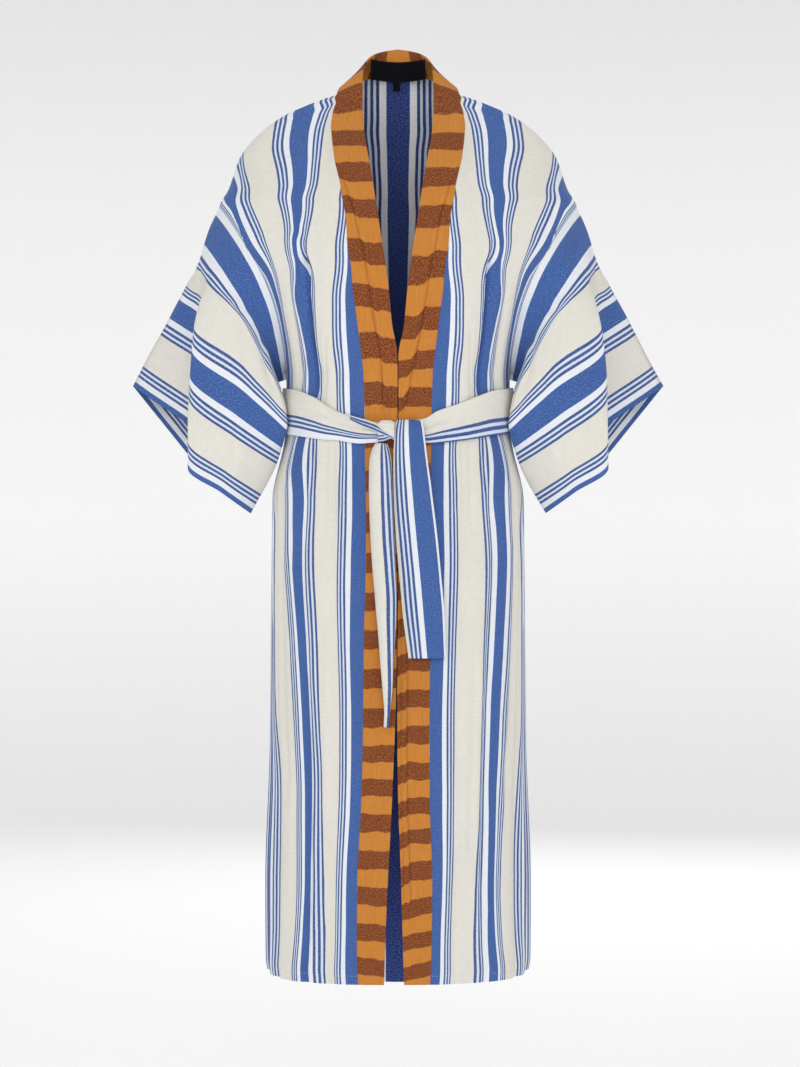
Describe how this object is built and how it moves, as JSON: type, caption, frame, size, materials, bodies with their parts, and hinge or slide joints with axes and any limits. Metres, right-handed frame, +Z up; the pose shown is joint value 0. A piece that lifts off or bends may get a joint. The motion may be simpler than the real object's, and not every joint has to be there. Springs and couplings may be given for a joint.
{
  "type": "long robe",
  "caption": "Long open robe with wide sleeves, a collar band down both fronts and a tied belt, in striped hand-woven cloth, on an unseen figure.",
  "frame": {"origin": "on the body's axis at the height of the shoulders' top edge, where the wearer holds the robe up", "axes": "+Z up, -Y the robe's front, +X the wearer's left"},
  "size_m": [0.71, 0.2985, 1.2584],
  "materials": {
    "back": "coarse hand-woven stripes in cream, white and blue",
    "front_right": "coarse hand-woven stripes in cream, white and blue",
    "front_left": "coarse hand-woven stripes in cream, white and blue",
    "sleeve_right": "coarse hand-woven stripes in cream, white and blue",
    "sleeve_left": "coarse hand-woven stripes in cream, white and blue",
    "band_right": "coarse weave with orange and brown bars across",
    "band_left": "coarse weave with orange and brown bars across",
    "belt_waist": "coarse hand-woven stripes in cream, white and blue",
    "belt_knot": "coarse hand-woven stripes in cream, white and blue",
    "belt_end_right": "coarse hand-woven stripes in cream, white and blue",
    "belt_end_left": "coarse hand-woven stripes in cream, white and blue",
    "neck_label": "smooth dark woven tape",
    "size_tab": "smooth dark woven tape"
  },
  "bodies": {
    "root": {"back": "back", "front_right": "front_right", "front_left": "front_left", "sleeve_right": "sleeve_right", "sleeve_left": "sleeve_left", "band_right": "band_right", "band_left": "band_left", "belt_waist": "belt_waist", "belt_knot": "belt_knot", "belt_end_right": "belt_end_right", "belt_end_left": "belt_end_left", "neck_label": "neck_label", "size_tab": "size_tab"}
  },
  "joints": []
}
